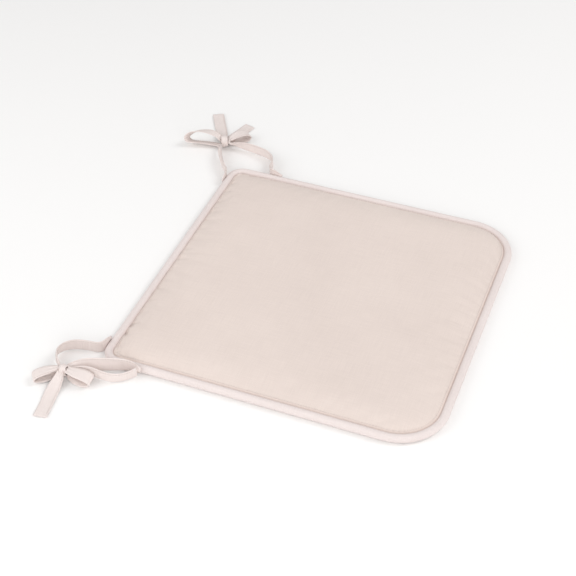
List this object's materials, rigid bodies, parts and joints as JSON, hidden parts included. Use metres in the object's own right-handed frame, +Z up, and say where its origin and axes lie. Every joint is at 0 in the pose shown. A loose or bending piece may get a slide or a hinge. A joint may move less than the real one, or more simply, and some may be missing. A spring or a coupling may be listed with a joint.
{
  "type": "tie-on seat cushion",
  "caption": "Square thin foam seat cushion in a piped fabric cover, with rounded front corners, a zip under its back edge and fabric ties in bows at the back corners.",
  "frame": {"origin": "centre of the cushion's flat underside, on the surface that it rests on", "axes": "+Z up through the thickness, -Y towards the front edge, +Y towards the back edge with the zip and the ties, +X towards the right as seen from in front"},
  "size_m": [0.6211, 0.4869, 0.0247],
  "materials": {
    "cover_cotton": "cream plain-weave cotton blend, matt",
    "piping_cotton": "the cover's cloth, cut on the bias and drawn tight over the filler cord",
    "tie_cotton": "the cover's cloth, folded to a flat tape",
    "filler_cotton": "soft laid cotton cord",
    "foam": "open-cell polyurethane foam sheet",
    "sewing_thread": "spun polyester thread",
    "zip_tape": "woven polyester tape",
    "zip_nylon": "nylon coil",
    "zip_metal": "plated zinc alloy"
  },
  "bodies": {
    "cover": {"top_cover_panel": "cover_cotton", "bottom_cover_panel": "cover_cotton", "piping_sleeve": "piping_cotton", "piping_filler_cord": "filler_cotton", "foam_core": "foam", "needle_thread": "sewing_thread", "bobbin_thread": "sewing_thread", "zip_tape_front": "zip_tape", "zip_tape_rear": "zip_tape", "zip_coil_front": "zip_nylon", "zip_coil_rear": "zip_nylon", "zip_top_stop_front": "zip_metal", "zip_top_stop_rear": "zip_metal", "zip_bottom_stop": "zip_metal", "tie_left_inner": "tie_cotton", "tie_left_outer": "tie_cotton", "tie_right_inner": "tie_cotton", "tie_right_outer": "tie_cotton", "bartack_left_inner": "sewing_thread", "bartack_left_outer": "sewing_thread", "bartack_right_inner": "sewing_thread", "bartack_right_outer": "sewing_thread"},
    "slider": {"zip_slider": "zip_metal"},
    "pull": {"zip_pull_tab": "zip_metal"}
  },
  "joints": [
    {"name": "zip_slide", "type": "slide", "parent": "cover", "child": "slider", "axis": [1, 0, 0], "range_m": [0, 0.3]},
    {"name": "pull_swing", "type": "hinge", "parent": "slider", "child": "pull", "pos_m": [-0.1502, 0.18, 0.00175], "axis": [0, 1, 0], "range_deg": [0, 180]}
  ]
}
